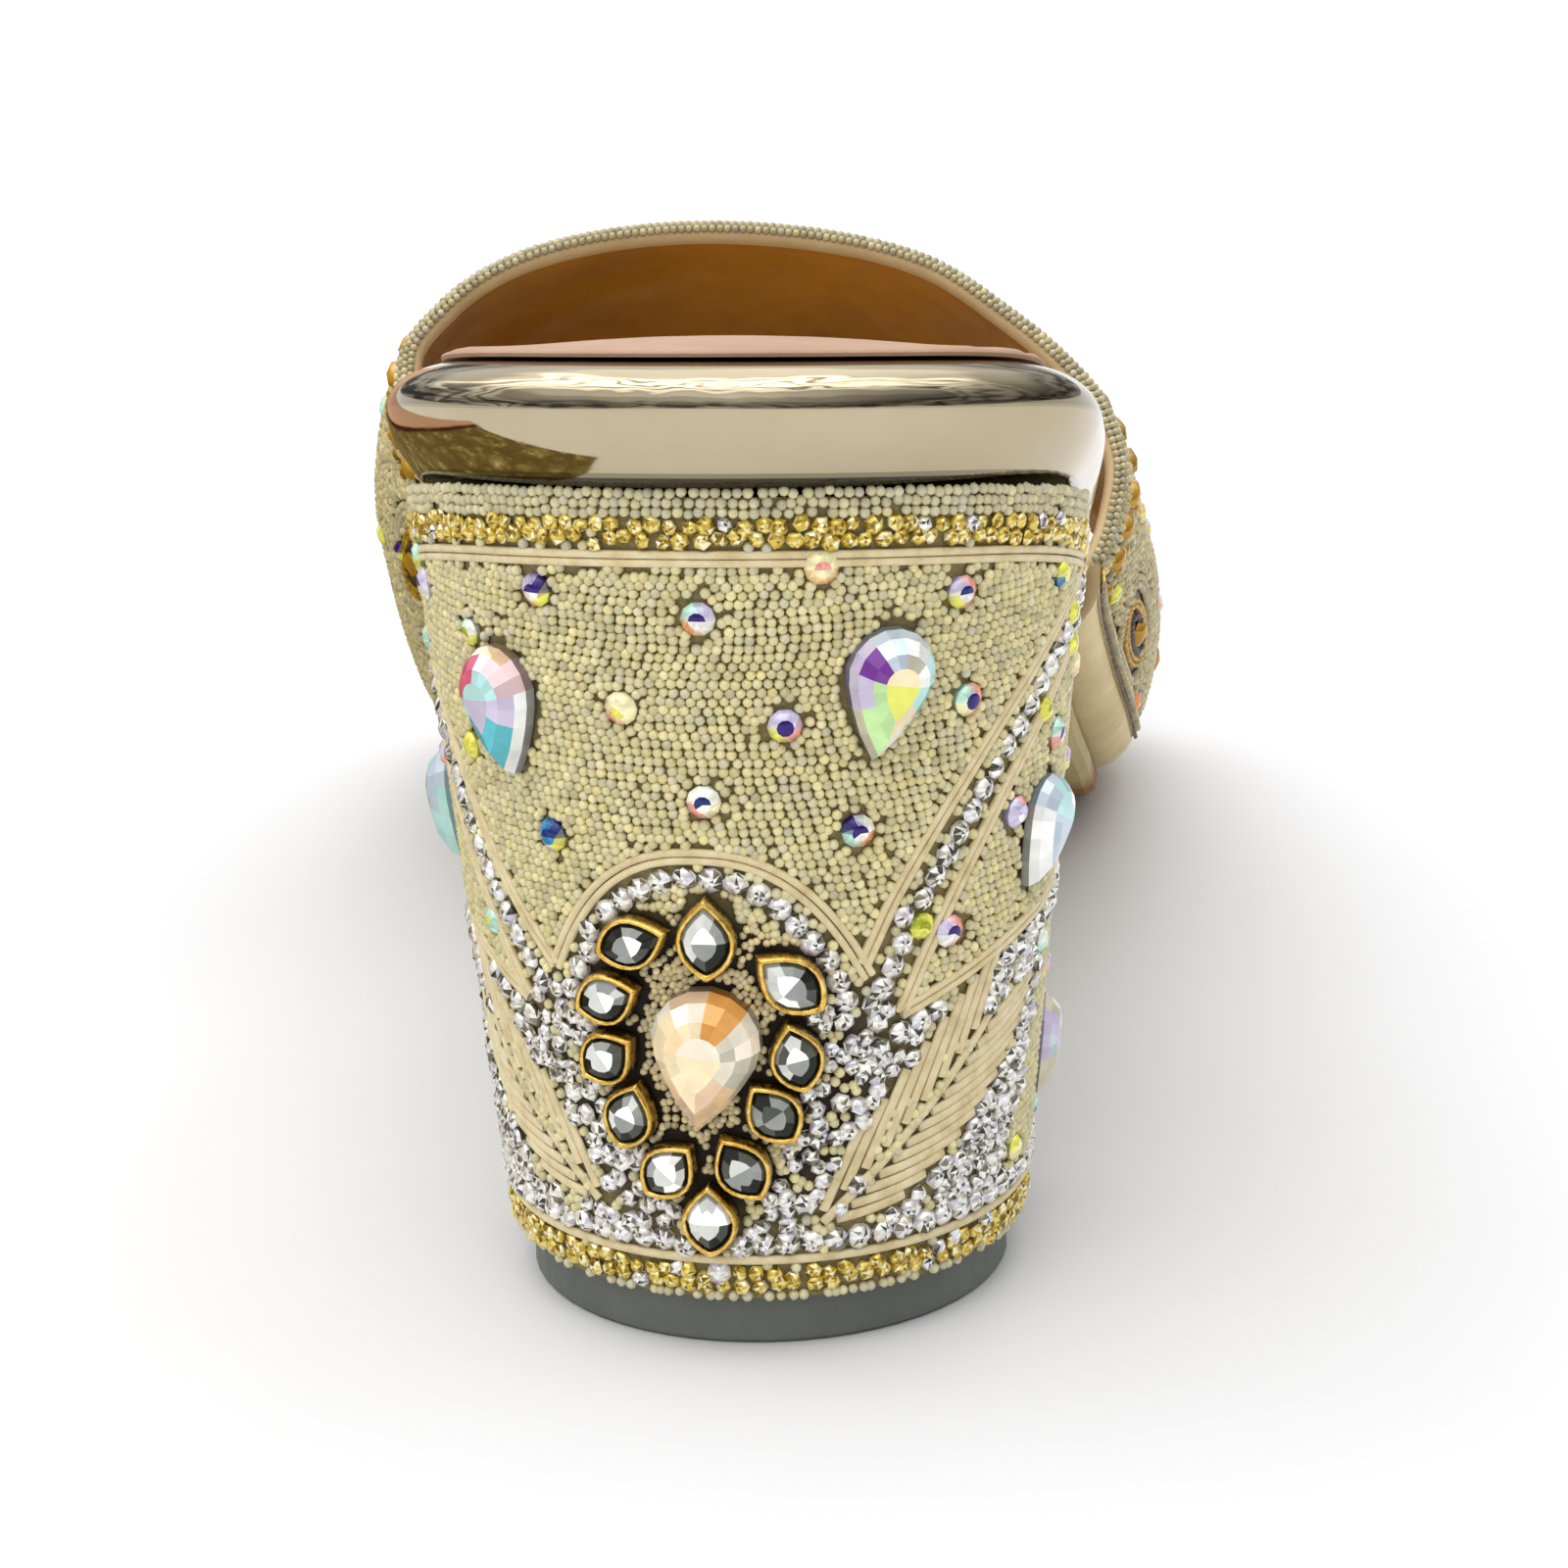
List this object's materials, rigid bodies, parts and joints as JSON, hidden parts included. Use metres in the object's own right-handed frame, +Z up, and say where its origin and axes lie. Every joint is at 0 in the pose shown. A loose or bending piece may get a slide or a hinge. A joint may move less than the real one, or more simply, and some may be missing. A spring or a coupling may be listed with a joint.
{
  "type": "block heel mule",
  "caption": "Open-toe slip-on mule with a broad band upper, padded insole and high flared block heel covered in beads and set with faceted jewels.",
  "frame": {"origin": "centre of the heel tip's ground face", "axes": "+Z up, the toe points to -Y, +X is the medial (inner) side of the right foot"},
  "size_m": [0.0844, 0.2165, 0.088],
  "materials": {
    "gold_leather": "soft metallic gold leather with bead embroidery, tan leather lining inside",
    "padded_leather": "matt blush sock lining over foam, cream towards the toe",
    "mirror_gold_rim": "mirror-gold foil leather wrapped round the board, lightly scratched",
    "outsole_rubber": "matt orange-brown sheet",
    "beaded_heel": "rigid heel core covered with champagne glass seed beads",
    "tip_rubber": "grey-green top piece",
    "faceted_crystal": "foil-backed faceted crystal",
    "gold_setting": "antique gold claw setting round a clear stone"
  },
  "bodies": {
    "root": {"upper": "gold_leather", "insole": "padded_leather", "footbed": "mirror_gold_rim", "outsole": "outsole_rubber", "heel_block": "beaded_heel", "heel_tip": "tip_rubber", "drop_centre": "faceted_crystal", "drop_back_lateral": "faceted_crystal", "drop_back_medial": "faceted_crystal", "drop_side_lateral": "faceted_crystal", "drop_side_medial": "faceted_crystal", "drop_low_lateral": "faceted_crystal", "kundan_01": "gold_setting", "kundan_02": "gold_setting", "kundan_03": "gold_setting", "kundan_04": "gold_setting", "kundan_05": "gold_setting", "kundan_06": "gold_setting", "kundan_07": "gold_setting", "kundan_08": "gold_setting", "kundan_09": "gold_setting", "kundan_10": "gold_setting", "kundan_11": "gold_setting"}
  },
  "joints": []
}
